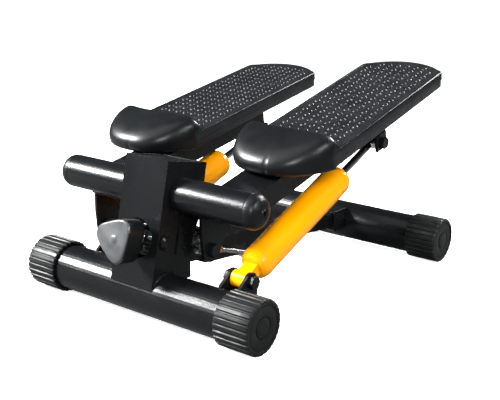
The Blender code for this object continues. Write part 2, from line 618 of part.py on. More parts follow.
def carriage():
    """Collar that slides on the beam: a nut block in front, the pulley's tongue behind."""
    room, wall, floor = 1.0, 2.4, 3.2
    half = BEAM_WIDTH / 2.0 + room
    front, side_end, rear = CARRIAGE_FRONT_Y, CARRIAGE_SIDE_Y, CARRIAGE_REAR_Y

    def under(y):
        return beam_bottom(y) - room

    def over(y):
        return beam_bottom(y) + BEAM_HEIGHT + room

    nut_y = front + 4.0
    axis_z = KNOB_AXIS[1] - (nut_y - KNOB_AXIS[0]) * math.tan(POST_LEAN)
    nut_top = axis_z + THREAD_R + 4.0
    outline = [(front, under(front) - floor), (rear, under(rear) - floor), (rear, under(rear) - 0.5),
               (side_end, under(side_end) - 0.5), (side_end, over(side_end) + wall),
               (front + 8.0, over(front + 8.0) + wall), (front + 8.0, nut_top), (front, nut_top)]
    obj = make_object("pulley_carriage", prism(outline, -half - wall, half + wall), PAINT, ROOT)
    hollow = [(front - 3.0, under(front - 3.0)), (side_end + 1.0, under(side_end + 1.0)),
              (side_end + 1.0, over(side_end + 1.0)), (front - 3.0, over(front - 3.0))]
    cut(obj, "carriage_hollow", prism(hollow, -half, half))
    cut(obj, "carriage_slot", block((1.0 - half, half - 1.0), (front + 8.4, CARRIAGE_TOP_Y),
                                    (over(front) - 4.0, over(front) + 10.0)))
    bore = turn_x(turned(rod_profile(-12.0, 12.0, THREAD_R + NUT_ROOM), 24, "Y"), -POST_LEAN)
    cut(obj, "carriage_nut_bore", move(bore, 0.0, nut_y, axis_z))
    cut(obj, "carriage_bolt_bore", move(turned(rod_profile(-12.0, 12.0, PIN_R + GAP), 24, "Z"),
                                        0.0, PULLEY_Y, beam_bottom(PULLEY_Y) - 5.0))


def pulley():
    rim = PULLEY_R - CABLE_R - GAP
    profile = [(-3.6, PIN_R + GAP), (-3.6, 9.0), (-2.4, 10.0), (-2.4, rim - 4.0), (-3.2, rim - 3.0), (-3.2, rim),
               (3.2, rim), (3.2, PIN_R + GAP)]
    make_object("balance_pulley", move(turned(profile, 48, "Z"), 0.0, PULLEY_Y, PULLEY_Z), NYLON, ROOT)


def pulley_bolt():
    top = beam_bottom(PULLEY_Y) - 1.6
    low = PULLEY_Z - 3.6 - GAP
    obj = make_object("pulley_bolt", move(turned(rod_profile(low - 1.0, top, PIN_R), 24, "Z"), 0.0, PULLEY_Y),
                      ZINC, ROOT)
    join(obj, "pulley_bolt_head", prism(hexagon(0.0, PULLEY_Y, 13.0), low - 5.0, low, "Z"))


def cable_frame(side):
    """Empty on the lug bolt whose +Y runs down the cable; also the run's length and its yaw."""
    pitch = PITCH[side]
    start = Vector((LUG_X[side] + inboard(side) * 9.0,
                    PIVOT_Y + LUG_BOLT_S * math.cos(pitch) - LUG_BOLT_N * math.sin(pitch),
                    PIVOT_Z + LUG_BOLT_S * math.sin(pitch) + LUG_BOLT_N * math.cos(pitch)))
    run = Vector((PULLEY_R * SIDES[side], PULLEY_Y, PULLEY_Z)) - start
    yaw = -math.atan2(run.x, math.hypot(run.y, run.z))
    pivot = empty("cable_%s_pivot" % side, ROOT, start, math.atan2(run.z, run.y))
    return empty("cable_%s_run" % side, pivot, rotation_z=yaw), run.length, yaw


def balance_cable(name, length, yaw, parent):
    """Cable run with the eye that hangs on the lug bolt."""
    bm = turned(rod_profile(6.6, length - CABLE_SLACK, CABLE_R), 16, "Y")
    obj = make_object(name, bm, ZINC, parent)
    eye = turned(pipe_profile(-2.8, 2.8, 8.0, PIN_R + 0.8), 24)
    bmesh.ops.rotate(eye, verts=eye.verts, matrix=Matrix.Rotation(-yaw, 3, "Z"))
    join(obj, name + "_eye", eye)


def ferrule(name, parent):
    profile = pipe_profile(14.0, 32.0, 4.2, CABLE_R + GAP)
    make_object(name, turned(profile, 20, "Y"), BRASS, parent)


def cable_loop():
    """Half turn of cable in the pulley's groove."""
    bm = bmesh.new()
    rings = []
    for k in range(17):
        t = math.pi * k / 16
        ring = []
        for m in range(12):
            p = 2.0 * math.pi * m / 12
            r = PULLEY_R + CABLE_R * math.cos(p)
            z = PULLEY_Z + CABLE_R * math.sin(p)
            ring.append(bm.verts.new((r * math.cos(t), PULLEY_Y + r * math.sin(t), z)))
        rings.append(ring)
    for low, high in zip(rings, rings[1:]):
        for m in range(12):
            j = (m + 1) % 12
            bm.faces.new((low[m], low[j], high[j], high[m]))
    bm.faces.new(rings[0])
    bm.faces.new(rings[-1])
    make_object("cable_loop", bm, ZINC, ROOT)


# ---------------------------------------------------------------- assembly
KNOB = empty("height_knob_axis", POST, (0.0, 0.0, -KNOB_DROP))
KNOB_AXIS = (POST_TOP[1] - KNOB_DROP * math.sin(POST_LEAN), POST_TOP[2] - KNOB_DROP * math.cos(POST_LEAN))

stabiliser("front_tube", 0.0)
stabiliser("rear_tube", REAR_Y)
for side_name, sign in SIDES.items():
    end_cap("end_cap_front_" + side_name, sign, 0.0)
    end_cap("end_cap_rear_" + side_name, sign, REAR_Y)
main_beam()
saddle_bracket()
post()
post_cap()
screw_trunnion()
pivot_axle()
knob()
height_screw()
knob_spring()
carriage()
pulley()
pulley_bolt()
cable_loop()

for side_name, sign in SIDES.items():
    pedal = PEDAL[side_name]
    sleeve_cap("sleeve_cap_" + side_name, sign)
    cap_screw("cap_screw_" + side_name, sign)
    pivot_sleeve("pivot_sleeve_" + side_name, sign, pedal)
    pivot_bush("pivot_bush_" + side_name, sign, pedal)
    pedal_arm("pedal_arm_" + side_name, sign, pedal)
    cable_lug("cable_lug_" + side_name, side_name, pedal)
    lug_bolt("lug_bolt_" + side_name, side_name, pedal)
    lug_nut("lug_nut_" + side_name, side_name, pedal)
    pedal_tread("pedal_tread_" + side_name, sign, pedal)
    toe_cap("toe_cap_" + side_name, sign, pedal)
    upper_bracket("upper_bracket_" + side_name, side_name, pedal)
    hinge_pin("upper_pin_" + side_name, DAMPER_X[side_name], UPPER_S, UPPER_N, PAINT, pedal)
    lower_yoke("lower_yoke_" + side_name, side_name)
    hinge_pin("lower_pin_" + side_name, DAMPER_X[side_name], LOWER_Y, LOWER_Z, PAINT, ROOT)
    damper, span = damper_frame(side_name)
    damper_body("damper_body_" + side_name, damper)
    piston_rod("piston_rod_" + side_name, span, damper)
    damper_gland("damper_gland_" + side_name, damper)
    cable, reach_out, turn_out = cable_frame(side_name)
    balance_cable("balance_cable_" + side_name, reach_out, turn_out, cable)
    ferrule("cable_ferrule_" + side_name, cable)

# Base centred on the origin: the knob's lower lobe is foremost, the rear caps are rearmost.
rearmost = REAR_Y + CAP_R
foremost = POST_TOP[1] - KNOB_FACE * math.cos(POST_LEAN) - (KNOB_DROP + KNOB_LOW_LOBE) * math.sin(POST_LEAN)
ROOT.location.y = -(rearmost + foremost) / 2.0 * MM
bpy.context.view_layer.update()
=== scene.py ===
import json
import math

import bmesh
import bpy
from mathutils import Matrix, Vector


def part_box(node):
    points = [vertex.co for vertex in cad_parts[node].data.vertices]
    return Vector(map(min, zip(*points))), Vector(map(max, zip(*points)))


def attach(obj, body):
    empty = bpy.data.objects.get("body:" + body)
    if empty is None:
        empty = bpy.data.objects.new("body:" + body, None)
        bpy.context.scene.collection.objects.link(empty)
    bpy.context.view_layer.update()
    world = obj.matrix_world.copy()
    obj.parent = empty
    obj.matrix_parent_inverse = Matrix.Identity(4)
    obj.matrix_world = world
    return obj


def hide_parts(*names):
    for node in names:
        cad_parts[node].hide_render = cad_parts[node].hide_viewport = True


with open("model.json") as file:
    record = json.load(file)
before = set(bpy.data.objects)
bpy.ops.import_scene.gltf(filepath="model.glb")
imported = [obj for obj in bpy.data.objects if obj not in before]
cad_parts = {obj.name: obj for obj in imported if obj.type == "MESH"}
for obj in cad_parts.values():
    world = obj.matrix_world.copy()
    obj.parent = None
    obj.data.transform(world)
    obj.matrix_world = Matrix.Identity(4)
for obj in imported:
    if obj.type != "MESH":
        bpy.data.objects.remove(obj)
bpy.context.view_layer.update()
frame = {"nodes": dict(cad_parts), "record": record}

# ---------------------------------------------------------------- facts from the frame
MM = 0.001
record = frame["record"]
BODY_OF = {node: body for body, nodes in record["behaviour"]["bodies"].items() for node in nodes}
SLOT_OF = {part["node"]: part["material_slot"] for part in record["subparts"]}
JOINT_AT = {joint["name"]: Vector(joint["pos_m"]) for joint in record["behaviour"]["joints"]}
SIDES = {"right": 1.0, "left": -1.0}
PIVOT = JOINT_AT["pedal_right_hinge"]
PITCH = {"right": math.radians(15.4), "left": math.radians(12.2)}
PEDAL = {side: Matrix.Translation(PIVOT) @ Matrix.Rotation(PITCH[side], 4, "X") for side in SIDES}


# ---------------------------------------------------------------- node-tree helpers
class Surface:
    """A Principled material whose colour, roughness and height come from layered noise."""

    def __init__(self, name, colour, roughness, metallic=0.0, coat=0.0, coat_roughness=0.1, specular=0.5):
        self.mat = bpy.data.materials.new(name)
        self.mat.use_nodes = True
        self.tree = self.mat.node_tree
        self.shader = self.tree.nodes["Principled BSDF"]
        self.shader.inputs["Metallic"].default_value = metallic
        self.shader.inputs["Coat Weight"].default_value = coat
        self.shader.inputs["Coat Roughness"].default_value = coat_roughness
        self.shader.inputs["Specular IOR Level"].default_value = specular
        self.shader.inputs["Base Color"].default_value = (*colour, 1.0)
        self.shader.inputs["Roughness"].default_value = roughness
        self.colour, self.roughness = colour, roughness
        self.place = self.node("ShaderNodeTexCoord").outputs["Object"]
        self.normal = None

    def node(self, kind, **values):
        made = self.tree.nodes.new(kind)
        for key, value in values.items():
            setattr(made, key, value)
        return made

    def link(self, source, target):
        self.tree.links.new(source, target)

    def noise(self, scale, detail=3.0, stretch=None):
        made = self.node("ShaderNodeTexNoise")
        made.inputs["Scale"].default_value = scale
        made.inputs["Detail"].default_value = detail
        place = self.place
        if stretch:
            mapping = self.node("ShaderNodeMapping")
            mapping.inputs["Scale"].default_value = stretch
            self.link(place, mapping.inputs["Vector"])
            place = mapping.outputs["Vector"]
        self.link(place, made.inputs["Vector"])
        return made.outputs["Fac"]

    def ranged(self, source, low, high, start=0.3, end=0.7):
        made = self.node("ShaderNodeMapRange")
        for key, value in (("From Min", start), ("From Max", end), ("To Min", low), ("To Max", high)):
            made.inputs[key].default_value = value
        self.link(source, made.inputs["Value"])
        return made.outputs["Result"]

    def tint(self, source, second, start=0.35, end=0.65):
        """Blend from the base colour to a second one where the source is high."""
        ramp = self.node("ShaderNodeValToRGB")
        ramp.color_ramp.elements[0].position = start
        ramp.color_ramp.elements[0].color = (*self.colour, 1.0)
        ramp.color_ramp.elements[1].position = end
        ramp.color_ramp.elements[1].color = (*second, 1.0)
        self.link(source, ramp.inputs["Fac"])
        self.link(ramp.outputs["Color"], self.shader.inputs["Base Color"])
        return self

    def uneven(self, source, spread):
        low, high = self.roughness - spread, self.roughness + spread
        self.link(self.ranged(source, low, high), self.shader.inputs["Roughness"])
        return self

    def bump(self, source, depth, strength=1.0):
        made = self.node("ShaderNodeBump")
        made.inputs["Distance"].default_value = depth
        made.inputs["Strength"].default_value = strength
        self.link(source, made.inputs["Height"])
        if self.normal:
            self.link(self.normal, made.inputs["Normal"])
        self.normal = made.outputs["Normal"]
        self.link(self.normal, self.shader.inputs["Normal"])
        return self


# ---------------------------------------------------------------- materials
def powder_coat():
    s = Surface("black_powder_coat", (0.0028, 0.0034, 0.0038), 0.27, specular=0.17)
    s.tint(s.noise(9.0, 4.0), (0.0044, 0.0052, 0.0057))
    s.uneven(s.noise(26.0, 3.0), 0.025)
    s.bump(s.noise(620.0, 2.0), 0.00022, 0.55)
    return s.bump(s.noise(2300.0, 1.0), 0.00005, 0.35).mat


def moulded_plastic():
    s = Surface("satin_moulded_plastic", (0.0030, 0.0036, 0.0040), 0.34, specular=0.20)
    s.tint(s.noise(14.0, 5.0), (0.0052, 0.0060, 0.0065))
    s.uneven(s.noise(60.0, 6.0), 0.045)
    s.bump(s.noise(1500.0, 3.0), 0.00007, 0.5)
    return s.bump(s.noise(90.0, 2.0), 0.00012, 0.2).mat


def tread_plastic():
    s = Surface("studded_tread_plastic", (0.0042, 0.0052, 0.0058), 0.36, specular=0.20)
    s.tint(s.noise(30.0, 6.0), (0.0085, 0.0098, 0.0106))
    s.uneven(s.noise(110.0, 5.0), 0.07)
    return s.bump(s.noise(1900.0, 4.0), 0.00012, 0.6).mat


def cap_rubber():
    s = Surface("ribbed_cap_rubber", (0.0034, 0.0038, 0.0040), 0.42, specular=0.22)
    s.tint(s.noise(40.0, 5.0), (0.0075, 0.0080, 0.0083))
    s.uneven(s.noise(85.0, 4.0), 0.07)
    return s.bump(s.noise(1300.0, 3.0), 0.00010, 0.5).mat


def amber_enamel():
    s = Surface("amber_enamel", (0.90, 0.33, 0.0), 0.24, coat=0.15, coat_roughness=0.10, specular=0.35)
    s.tint(s.noise(16.0, 3.0), (0.93, 0.36, 0.0))
    s.uneven(s.noise(45.0, 4.0), 0.04)
    return s.bump(s.noise(260.0, 2.0), 0.00012, 0.18).mat


def polished_chrome():
    s = Surface("polished_chrome", (0.80, 0.81, 0.83), 0.10, metallic=1.0)
    s.tint(s.noise(30.0, 4.0), (0.70, 0.71, 0.74))
    s.uneven(s.noise(150.0, 5.0, (1.0, 8.0, 8.0)), 0.045)
    return s.bump(s.noise(900.0, 2.0, (1.0, 12.0, 12.0)), 0.00002, 0.25).mat


def zinc_plate():
    s = Surface("zinc_plate", (0.62, 0.62, 0.61), 0.27, metallic=1.0)
    s.tint(s.noise(120.0, 6.0), (0.44, 0.44, 0.45))
    s.uneven(s.noise(300.0, 5.0), 0.10)
    return s.bump(s.noise(1400.0, 4.0), 0.00005, 0.4).mat


def wire_rope():
    """Twisted steel strands: a diagonal wave in place of modelled wires."""
    s = Surface("steel_wire_rope", (0.55, 0.56, 0.57), 0.30, metallic=1.0)
    mapping = s.node("ShaderNodeMapping")
    mapping.inputs["Rotation"].default_value = (0.6, 0.0, 0.7)
    s.link(s.place, mapping.inputs["Vector"])
    wave = s.node("ShaderNodeTexWave")
    wave.inputs["Scale"].default_value = 190.0
    wave.inputs["Distortion"].default_value = 0.4
    s.link(mapping.outputs["Vector"], wave.inputs["Vector"])
    s.tint(wave.outputs["Fac"], (0.30, 0.30, 0.31), 0.55, 0.95)
    s.uneven(s.noise(500.0, 4.0), 0.08)
    return s.bump(wave.outputs["Fac"], 0.0004, 0.6).mat


def crimped_brass():
    s = Surface("crimped_brass", (0.72, 0.43, 0.14), 0.28, metallic=1.0)
    s.tint(s.noise(220.0, 5.0), (0.50, 0.28, 0.09))
    s.uneven(s.noise(420.0, 4.0), 0.10)
    return s.bump(s.noise(700.0, 3.0), 0.00008, 0.5).mat


def natural_nylon():
    s = Surface("natural_nylon", (0.58, 0.56, 0.50), 0.46)
    s.shader.inputs["Subsurface Weight"].default_value = 0.06
    s.tint(s.noise(50.0, 4.0), (0.46, 0.44, 0.38))
    s.uneven(s.noise(180.0, 4.0), 0.06)
    return s.bump(s.noise(800.0, 3.0), 0.00006, 0.4).mat


def worn_knob():
    """Grey plastic face, rubbed lighter by the hand."""
    s = Surface("worn_grey_knob", (0.0310, 0.0341, 0.0360), 0.34)
    s.tint(s.noise(34.0, 7.0), (0.0930, 0.0980, 0.0992), 0.38, 0.68)
    s.uneven(s.noise(75.0, 6.0), 0.09)
    s.bump(s.noise(420.0, 5.0), 0.00012, 0.5)
    return s.bump(s.noise(40.0, 3.0), 0.0005, 0.25).mat


def weld_metal():
    s = Surface("painted_weld", (0.0030, 0.0036, 0.0040), 0.28, specular=0.2)
    s.tint(s.noise(60.0, 4.0), (0.0060, 0.0066, 0.0070))
    s.uneven(s.noise(120.0, 4.0), 0.06)
    return s.bump(s.noise(420.0, 3.0), 0.0005, 0.6).mat


def studio_floor():
    """White to the camera and grey to every other ray, like a floor with black flags round it."""
    s = Surface("pale_floor", (0.90, 0.90, 0.90), 0.75, specular=0.05)
    seen = s.node("ShaderNodeLightPath")
    shade = s.node("ShaderNodeMix", data_type="RGBA")
    shade.inputs["A"].default_value = (0.13, 0.13, 0.13, 1.0)
    shade.inputs["B"].default_value = (0.90, 0.90, 0.90, 1.0)
    s.link(seen.outputs["Is Camera Ray"], shade.inputs["Factor"])
    s.link(shade.outputs["Result"], s.shader.inputs["Base Color"])
    glow = s.node("ShaderNodeMath", operation="MULTIPLY")
    glow.inputs[1].default_value = 0.72
    s.link(seen.outputs["Is Camera Ray"], glow.inputs[0])
    s.link(glow.outputs["Value"], s.shader.inputs["Emission Strength"])
    s.shader.inputs["Emission Color"].default_value = (1.0, 1.0, 1.0, 1.0)
    return s.mat


FINISH = {
    "paint": powder_coat(), "plastic": moulded_plastic(), "tread": tread_plastic(), "rubber": cap_rubber(),
    "amber": amber_enamel(), "chrome": polished_chrome(), "zinc": zinc_plate(), "brass": crimped_brass(),
    "nylon": natural_nylon(), "knob": worn_knob(),
}
WIRE = wire_rope()
WELD = weld_metal()

for node, obj in frame["nodes"].items():
    finish = WIRE if node.startswith(("balance_cable", "cable_loop")) else FINISH[SLOT_OF[node]]
    for material_slot in obj.material_slots:
        material_slot.material = finish


# ---------------------------------------------------------------- mesh helpers
def piece(name, bm, finish, body, stands_for=(), matrix=None, scale=MM, sharp=40.0):
    """Object from a bmesh built in millimetres, placed, shaded, finished and put on its body."""
    bmesh.ops.scale(bm, vec=(scale, scale, scale), verts=bm.verts)
    bmesh.ops.recalc_face_normals(bm, faces=bm.faces)
    if matrix is not None:
        bmesh.ops.transform(bm, matrix=matrix, verts=bm.verts)
    mesh = bpy.data.meshes.new(name)
    bm.to_mesh(mesh)
    bm.free()
    mesh.materials.append(finish)
    mesh.shade_smooth()
    mesh.set_sharp_from_angle(angle=math.radians(sharp))
    obj = bpy.data.objects.new(name, mesh)
    bpy.context.scene.collection.objects.link(obj)
    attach(obj, body)
    if stands_for:
        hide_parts(*stands_for)
    return obj


def bridge(bm, rows):
    """Faces between neighbouring rows of equal length, each row closed on itself."""
    for low, high in zip(rows, rows[1:]):
        for k in range(len(low)):
            m = (k + 1) % len(low)
            bm.faces.new((low[k], low[m], high[m], high[k]))


def stitched(loops, cap_first=True):
    """Surface through loops of equal length, closed at its last loop and, if asked, at its first."""
    bm = bmesh.new()
    rows = [[bm.verts.new(point) for point in loop] for loop in loops]
    bridge(bm, rows)
    if cap_first:
        bm.faces.new(rows[0])
    bm.faces.new(rows[-1])
    return bm


def arc(centre_a, centre_b, radius, start, end, steps):
    turn = [math.radians(start + (end - start) * k / steps) for k in range(steps + 1)]
    return [(centre_a + radius * math.cos(t), centre_b + radius * math.sin(t)) for t in turn]


EASE_SEGMENTS, EASE_ANGLE = 2, 32.0
MERGE_DISTANCE, FLAT_ANGLE = 2e-6, math.radians(0.8)


def eased(node, width):
    """The CAD node's own shape with its hard edges rounded, as bending, rolling and paint leave them."""
    source = frame["nodes"][node]
    bm = bmesh.new()
    bm.from_mesh(source.data)
    bmesh.ops.remove_doubles(bm, verts=bm.verts, dist=MERGE_DISTANCE)
    bmesh.ops.dissolve_limit(bm, angle_limit=FLAT_ANGLE, verts=bm.verts, edges=bm.edges)
    finish = source.material_slots[0].material
    obj = piece(node + "_eased", bm, finish, BODY_OF[node], (node,), scale=1.0,
                sharp=EASE_ANGLE)
    bevel = obj.modifiers.new("edge", "BEVEL")
    bevel.width = width * MM
    bevel.segments = EASE_SEGMENTS
    bevel.limit_method = "ANGLE"
    bevel.angle_limit = math.radians(EASE_ANGLE)


# ---------------------------------------------------------------- treads
TREAD_CENTRE, TREAD_HALF, TREAD_TOP, TREAD_BOTTOM = 96.5, 57.5, 20.8, 1.4
TREAD_FRONT, TREAD_CORNER, TREAD_TIP = 112.0, 372.0, 398.0
TREAD_FACE, TREAD_STEP = TREAD_TOP - 0.9, 10.4
HEEL_BOW, HEEL_STEPS, HEEL_CORNER = TREAD_TIP - TREAD_CORNER, 26, 8.0
HEEL_R = (TREAD_HALF ** 2 + HEEL_BOW ** 2) / (2.0 * HEEL_BOW)
HEEL_CENTRE = TREAD_TIP - HEEL_R
STUD_ACROSS, STUD_ALONG, STUD_FIRST, STUD_SHIFT = 12.24, 14.0, 127.1, 0.6
STUD_R, STUD_HEIGHT, STUD_SIDES, STUD_COLUMNS, STUD_MARGIN = 3.8, 1.9, 10, 8, 5.8
RIB_HALF, RIB_TOP = 1.1, 16.5


def tread_loop(inset, height):
    """Plan of the tread about its middle line at a height: straight sides, bowed heel."""
    half, reach = TREAD_HALF - inset, HEEL_R - inset
    limit = math.degrees(math.acos((half - HEEL_CORNER) / reach))
    corner = HEEL_CENTRE + reach * math.sin(math.radians(limit))
    turn = [(half, corner - 11.0), (half - 0.35, corner - 7.6), (half - 1.4, corner - 4.6),
            (half - 3.6, corner - 1.9)]
    points = [(-half, TREAD_FRONT + inset), (half, TREAD_FRONT + inset)] + turn
    points += arc(0.0, HEEL_CENTRE, reach, limit, 180.0 - limit, HEEL_STEPS)
    points += [(-x, s) for x, s in reversed(turn)]
    return [(x, s, height) for x, s in points]


def inside_tread(x, s, margin):
    beyond = max(0.0, s - HEEL_CENTRE)
    return abs(x) < TREAD_HALF - margin and math.hypot(x, beyond) < HEEL_R - margin


def tread_shell():
    face, lip, step = TREAD_FACE, TREAD_TOP, TREAD_STEP
    rows = [(5.0, 15.6), (4.6, 14.0), (3.4, TREAD_BOTTOM + 0.6), (2.9, TREAD_BOTTOM), (1.8, TREAD_BOTTOM),
            (1.3, TREAD_BOTTOM + 0.5), (1.0, step - 1.0), (0.9, step - 0.2), (0.15, step + 0.2),
            (0.0, step + 0.9), (0.0, lip - 1.6), (0.25, lip - 0.7), (0.9, lip - 0.1), (1.5, lip), (2.6, lip),
            (3.2, lip - 0.25), (3.9, face + 0.1), (4.6, face)]
    return stitched([tread_loop(inset, height) for inset, height in rows])


def add_studs(bm):
    """Rows of domed studs moulded on the tread's face."""
    rings = [(1.0, -0.15), (0.86, 0.42), (0.60, 0.78), (0.28, 0.96)]
    s = STUD_FIRST
    while s < TREAD_TIP:
        for column in range(STUD_COLUMNS):
            x = (column - (STUD_COLUMNS - 1) / 2.0) * STUD_ACROSS - STUD_SHIFT
            if not inside_tread(x, s, STUD_MARGIN):
                continue
            loops = []
            for share, rise in rings:
                loop = []
                for k in range(STUD_SIDES):
                    t = 2.0 * math.pi * k / STUD_SIDES
                    here = (x + STUD_R * share * math.cos(t), s + STUD_R * share * math.sin(t))
                    loop.append(bm.verts.new((*here, TREAD_FACE + STUD_HEIGHT * rise)))
                loops.append(loop)
            bridge(bm, loops)
            bm.faces.new(loops[-1])
        s += STUD_ALONG


def add_block(bm, x, y, z):
    corners = [(a, b, c) for c in z for a, b in ((x[0], y[0]), (x[1], y[0]), (x[1], y[1]), (x[0], y[1]))]
    v = [bm.verts.new(c) for c in corners]
    for face in ((0, 1, 2, 3), (4, 5, 6, 7), (0, 1, 5, 4), (1, 2, 6, 5), (2, 3, 7, 6), (3, 0, 4, 7)):
        bm.faces.new([v[i] for i in face])


def add_ribs(bm):
    """Stiffening ribs under the face, inside the skirt."""
    for x in (-20.0, 20.0):
        add_block(bm, (x - RIB_HALF, x + RIB_HALF), (TREAD_FRONT + 4.0, TREAD_CORNER - 4.0), (3.0, RIB_TOP))
    for k in range(7):
        s = 146.0 + 36.0 * k
        add_block(bm, (4.0 - TREAD_HALF, TREAD_HALF - 4.0), (s - RIB_HALF, s + RIB_HALF), (4.0, RIB_TOP))


def tread(side):
    bm = tread_shell()
    add_studs(bm)
    add_ribs(bm)
    place = PEDAL[side] @ Matrix.Translation((SIDES[side] * TREAD_CENTRE * MM, 0.0, 0.0))
    node = "pedal_tread_" + side
    piece("studded_tread_" + side, bm, FINISH["tread"], BODY_OF[node], (node,), place, sharp=50.0)


# ---------------------------------------------------------------- toe caps
TOE_HALF, TOE_STEPS, TOE_END = 58.3, 84, 0.992
TOE_BACK, TOE_LOW, TOE_SEAT = 116.0, 0.8, TREAD_TOP + 0.3
TOE_CREASE, CREASE_DEPTH, CREASE_WIDTH = {"right": 4.0, "left": -3.0}, 0.8, 1.5
TOE_MIDDLE, LOWER_STEPS, UPPER_STEPS = 0.39, 12, 16


def toe_section(a, across, crease_at):
    """Section of the toe cap at a, from -1 (towards -X) to 1, as (s, n) points."""
    spread = (1.0 - a ** 2.2) ** 0.66 if a > 0.0 else (1.0 - abs(a) ** 2.8) ** (1.0 / 2.8)
    reach = 3.0 + 55.0 * spread - CREASE_DEPTH * math.exp(-((across - crease_at) / CREASE_WIDTH) ** 2)
    edge = math.sqrt(1.0 - a ** 8) if a > 0.0 else math.sqrt(1.0 - abs(a) ** 20)
    ear = 1.8 * math.exp(-((a + 0.84) / 0.22) ** 2)
    height = 1.4 + (16.9 + ear) * edge
    top = TOE_SEAT + height
    middle = TOE_LOW + TOE_MIDDLE * (top - TOE_LOW)
    points = []
    for k in range(LOWER_STEPS + 1):
        t = math.radians(90.0 * k / LOWER_STEPS)
        points.append((TOE_BACK - reach * math.sin(t) ** 0.58,
                       middle - (middle - TOE_LOW) * math.cos(t) ** 0.72))
    for k in range(1, UPPER_STEPS + 1):
        t = math.radians(90.0 * k / UPPER_STEPS)
        points.append((TOE_BACK - reach * math.cos(t) ** 1.02, middle + (top - middle) * math.sin(t) ** 1.02))
    lip = ((118.2, 0.965), (120.0, 0.88), (121.4, 0.72), (122.6, 0.5), (123.6, 0.22))
    points += [(s, TOE_SEAT + share * height) for s, share in lip]
    points += [(124.3, TREAD_TOP - 0.5), (TREAD_FRONT + 1.5, TREAD_TOP - 1.2),
               (TREAD_FRONT + 1.5, TOE_LOW + 0.4)]
    return points


def toe_cap(side):
    centre = SIDES[side] * TREAD_CENTRE
    loops = []
    for k in range(TOE_STEPS + 1):
        a = TOE_END * math.sin(math.pi * (k / TOE_STEPS - 0.5))
        across = TOE_HALF * a
        loops.append([(centre + across, s, n) for s, n in toe_section(a, across, TOE_CREASE[side])])
    node = "toe_cap_" + side
    piece("moulded_toe_cap_" + side, stitched(loops), FINISH["plastic"], BODY_OF[node], (node,),
          PEDAL[side], sharp=60.0)


# ---------------------------------------------------------------- end caps
CAP_R, CAP_RIBS, CAP_STEPS, RIB_DEPTH = 30.0, 28, 12, 1.5


def end_cap(node):
    """Ribbed cap turned about X: rows of depth from the outer face, radius and share of the rib's depth."""
    low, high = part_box(node)
    side = 1.0 if high.x > 0.0 else -1.0
    outer = (high.x if side > 0.0 else low.x) / MM
    centre = Vector((0.0, (low.y + high.y) / 2.0, (low.z + high.z) / 2.0))
    length = (high.x - low.x) / MM
    profile = [(length - 0.2, 26.2, 0.0), (length, 27.0, 0.0), (length, 29.0, 0.7),
               (length - 0.7, CAP_R, 1.0), (length - 14.0, CAP_R, 1.0), (14.0, CAP_R, 1.0),
               (2.4, CAP_R, 1.0), (0.9, CAP_R - 0.5, 0.95),
               (0.15, CAP_R - 1.5, 0.5), (0.0, CAP_R - 2.6, 0.0), (0.0, 25.6, 0.0), (0.25, 25.0, 0.0),
               (1.3, 24.8, 0.0), (1.5, 24.2, 0.0), (0.9, 23.2, 0.0), (0.8, 22.6, 0.0), (0.8, 12.6, 0.0),
               (1.0, 12.2, 0.0), (1.9, 12.0, 0.0), (1.9, 11.1, 0.0), (0.9, 10.9, 0.0), (0.5, 10.3, 0.0),
               (0.5, 5.0, 0.0), (0.5, 1.0, 0.0)]
    count = CAP_RIBS * CAP_STEPS
    loops = []
    for depth, radius, share in profile:
        loop = []
        for k in range(count):
            turn = 2.0 * math.pi * k / count - math.pi / 2.0
            wave = 0.5 - 0.5 * math.cos(2.0 * math.pi * k / CAP_STEPS)
            groove = max(0.0, (wave - 0.52) / 0.48) ** 0.55
            r = radius - share * RIB_DEPTH * groove
            loop.append((outer - side * depth, r * math.cos(turn), r * math.sin(turn)))
        loops.append(loop)
    bm = stitched(loops, cap_first=False)
    piece(node + "_ribbed", bm, FINISH["rubber"], BODY_OF[node], (node,),
          Matrix.Translation(centre), sharp=42.0)


# ---------------------------------------------------------------- knob
KNOB_MEAN_R, KNOB_LOBE, KNOB_TURN = 22.9, 3.4, math.radians(50.0)
KNOB_FACE, KNOB_BACK, KNOB_STEPS = 36.0, 11.0, 96
GREY_FACE = 0.45
POST_LEAN = math.radians(9.5)
KNOB_PLACE = Matrix.Translation(JOINT_AT["knob_turn"]) @ Matrix.Rotation(-POST_LEAN, 4, "X")


